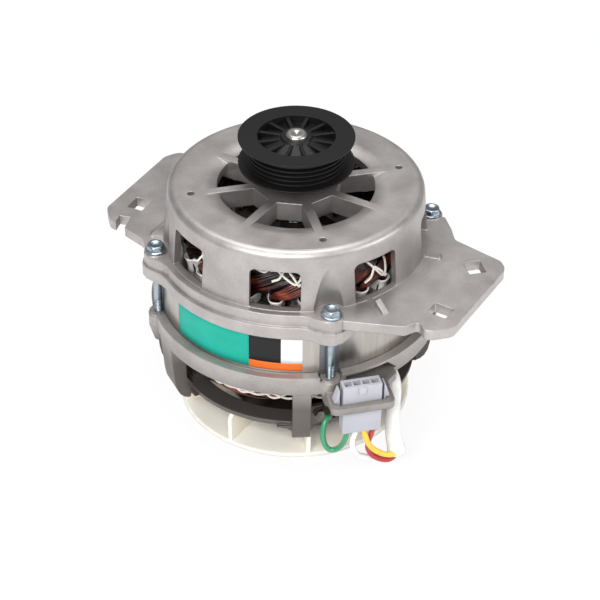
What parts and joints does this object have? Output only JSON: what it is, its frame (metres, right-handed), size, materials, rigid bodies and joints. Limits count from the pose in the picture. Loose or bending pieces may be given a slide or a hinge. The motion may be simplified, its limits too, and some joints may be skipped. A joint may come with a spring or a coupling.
{
  "type": "washing machine motor",
  "caption": "Belt drive induction motor: cast end brackets bolted over a laminated stator, ribbed belt pulley above, cooling fan below, slotted mounting ears and a plug-in connector.",
  "frame": {"origin": "on the shaft's axis, in the plane of the drive bracket's outer face, which is the middle of its circle of small threaded holes", "axes": "+Z along the shaft towards the pulley; -Y towards the connector and the front through bolt; +X towards the right through bolt and the wide mounting ear"},
  "size_m": [0.1719, 0.1718, 0.1469],
  "materials": {
    "drive_casting": "as cast",
    "rear_casting": "as cast",
    "core_steel": "varnished laminations",
    "cleat_steel": "rolled",
    "liner_film": "matte",
    "winding_copper": "varnished",
    "lacing_cord": "matte",
    "protector_case": "matte",
    "zinc_bolts": "bright zinc",
    "bearing_steel": "ground",
    "ball_steel": "polished",
    "bearing_cage": "pressed",
    "shield_steel": "pressed",
    "spring_steel": "satin",
    "shaft_steel": "ground",
    "rotor_steel": "turned",
    "rotor_aluminium": "as cast",
    "pulley_black": "satin",
    "fan_cream": "satin",
    "connector_grey": "satin",
    "terminal_brass": "stamped",
    "terminal_tin": "tinned",
    "lead_green": "soft gloss",
    "lead_white": "soft gloss",
    "lead_yellow": "soft gloss",
    "lead_red": "soft gloss",
    "sleeve_clear": "translucent"
  },
  "bodies": {
    "frame": {"drive_end_bracket": "drive_casting", "rear_end_bracket": "rear_casting", "stator_core": "core_steel", "core_cleats": "cleat_steel", "slot_liners": "liner_film", "upper_end_winding": "winding_copper", "lower_end_winding": "winding_copper", "upper_lacing": "lacing_cord", "lower_lacing": "lacing_cord", "thermal_protector": "protector_case", "through_bolts": "zinc_bolts", "front_bearing_outer_ring": "bearing_steel", "front_bearing_shields": "shield_steel", "rear_bearing_outer_ring": "bearing_steel", "rear_bearing_shields": "shield_steel", "wave_washer": "spring_steel", "connector_housing": "connector_grey", "connector_terminals": "terminal_brass", "earth_ring_terminal": "terminal_tin", "earth_screw": "zinc_bolts", "earth_lead": "lead_green", "white_lead": "lead_white", "yellow_lead": "lead_yellow", "red_lead": "lead_red", "lead_sleeve": "sleeve_clear"},
    "rotor": {"shaft": "shaft_steel", "rotor_core": "rotor_steel", "rotor_cage": "rotor_aluminium", "pulley": "pulley_black", "cooling_fan": "fan_cream", "fan_clip": "spring_steel", "front_bearing_inner_ring": "bearing_steel", "rear_bearing_inner_ring": "bearing_steel"},
    "front_ball_set": {"front_bearing_balls": "ball_steel", "front_bearing_cage": "bearing_cage"},
    "rear_ball_set": {"rear_bearing_balls": "ball_steel", "rear_bearing_cage": "bearing_cage"}
  },
  "joints": [
    {"name": "rotor_spin", "type": "hinge", "parent": "frame", "child": "rotor", "pos_m": [0, 0, 0], "axis": [0, 0, 1], "continuous": true},
    {"name": "front_balls_orbit", "type": "hinge", "parent": "frame", "child": "front_ball_set", "pos_m": [0, 0, -0.0082], "axis": [0, 0, 1], "continuous": true},
    {"name": "rear_balls_orbit", "type": "hinge", "parent": "frame", "child": "rear_ball_set", "pos_m": [0, 0, -0.0938], "axis": [0, 0, 1], "continuous": true}
  ],
  "couplings": [
    {"joint": "front_balls_orbit", "follows": "rotor_spin", "ratio": 0.3645},
    {"joint": "rear_balls_orbit", "follows": "rotor_spin", "ratio": 0.3645}
  ]
}
